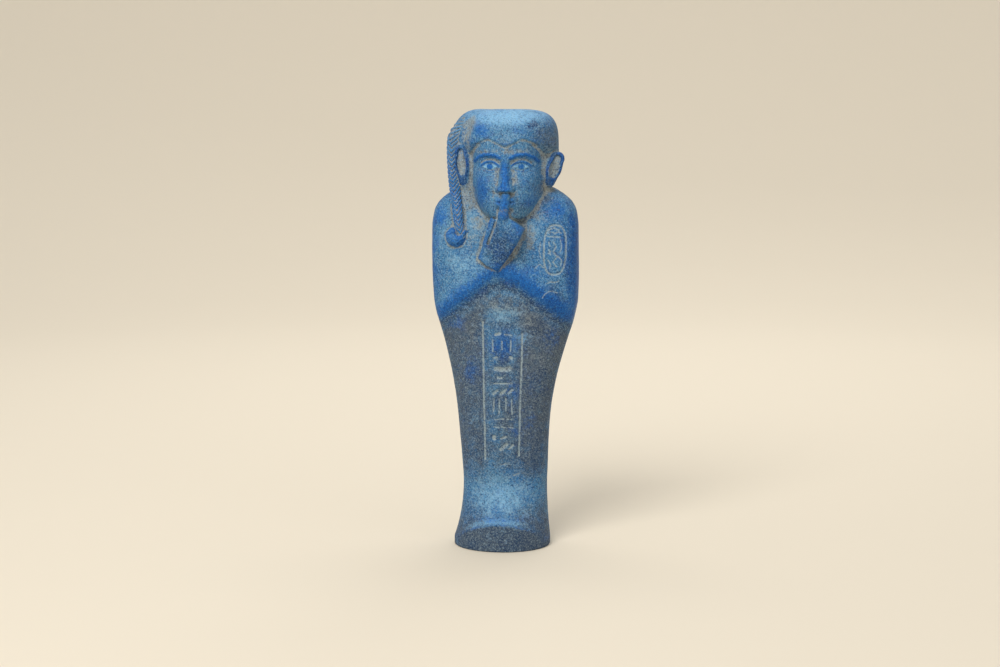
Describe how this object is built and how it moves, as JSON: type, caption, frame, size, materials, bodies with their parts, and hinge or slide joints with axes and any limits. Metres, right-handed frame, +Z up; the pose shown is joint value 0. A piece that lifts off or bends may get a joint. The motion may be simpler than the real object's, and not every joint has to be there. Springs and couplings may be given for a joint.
{
  "type": "ushabti figurine",
  "caption": "Small mummiform faience figure with a plaited sidelock, one finger raised to its mouth, standing on its flat sole.",
  "frame": {"origin": "under the middle of the figure's bounding box, on the flat sole that it stands on", "axes": "+Z up through the head; the figure faces -Y; +X is to the figure's own left, the viewer's right"},
  "size_m": [0.067, 0.0458, 0.2],
  "materials": {
    "faience": "matt to satin, grainy, worn"
  },
  "bodies": {
    "root": {"ushabti": "faience"}
  },
  "joints": []
}
